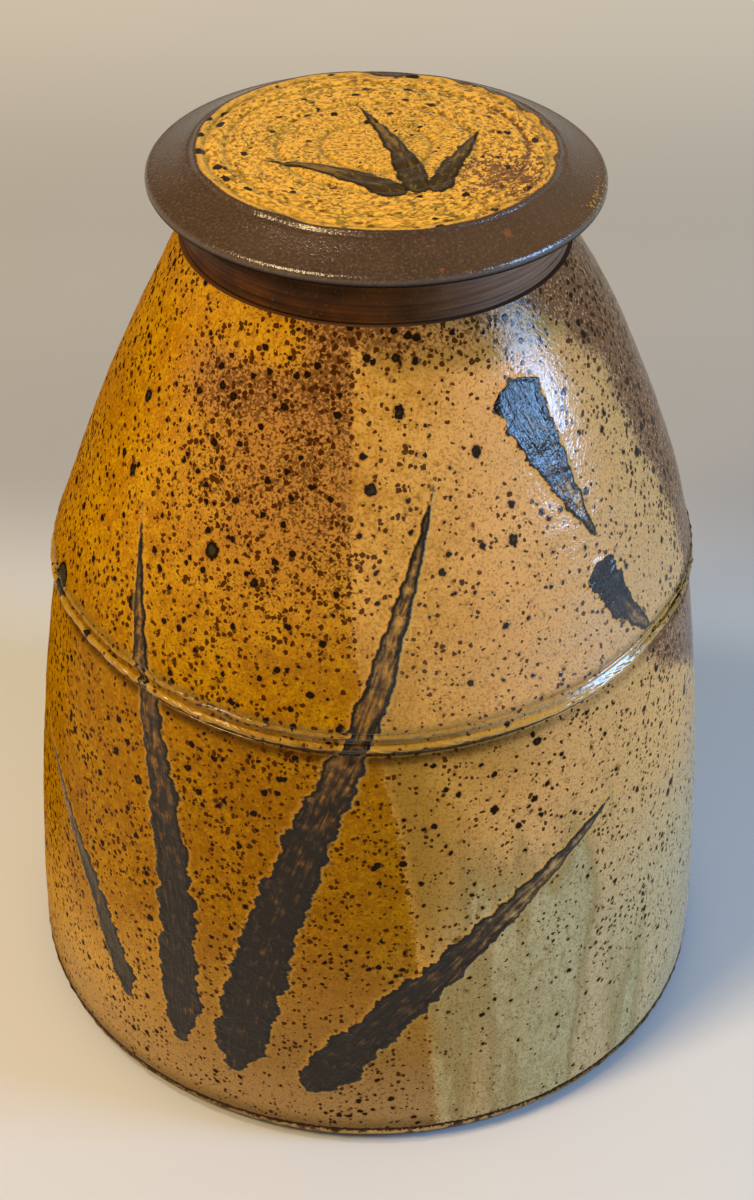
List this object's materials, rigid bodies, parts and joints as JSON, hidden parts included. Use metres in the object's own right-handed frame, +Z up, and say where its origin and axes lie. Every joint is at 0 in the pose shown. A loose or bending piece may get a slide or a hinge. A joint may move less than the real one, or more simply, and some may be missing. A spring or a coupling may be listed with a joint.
{
  "type": "lidded jar",
  "caption": "Tall stoneware storage jar that flares to a wide foot, with a raised cordon at mid height, a bare collar and a loose flat bevelled lid that lifts off.",
  "frame": {"origin": "centre of the foot on the table", "axes": "+Z up along the throwing axis; -Y is the side that faces the viewer in the picture"},
  "size_m": [0.2334, 0.2334, 0.3],
  "materials": {
    "wall_glaze": "amber ash glaze with iron speckle, satin to glossy",
    "cordon_glaze": "pale glaze pooled beside a raised bead",
    "bare_clay": "dark brown iron-bearing stoneware, unglazed",
    "lid_glaze": "amber ash glaze on the disc, dark iron slip on the bevel"
  },
  "bodies": {
    "jar": {"lower_section": "wall_glaze", "upper_section": "wall_glaze", "joint_cordon": "cordon_glaze", "neck_collar": "bare_clay"},
    "lid": {"lid_plate": "lid_glaze", "lid_flange": "bare_clay"}
  },
  "joints": [
    {"name": "lid_lift", "type": "slide", "parent": "jar", "child": "lid", "axis": [0, 0, 1], "range_m": [0, 0.12]}
  ]
}
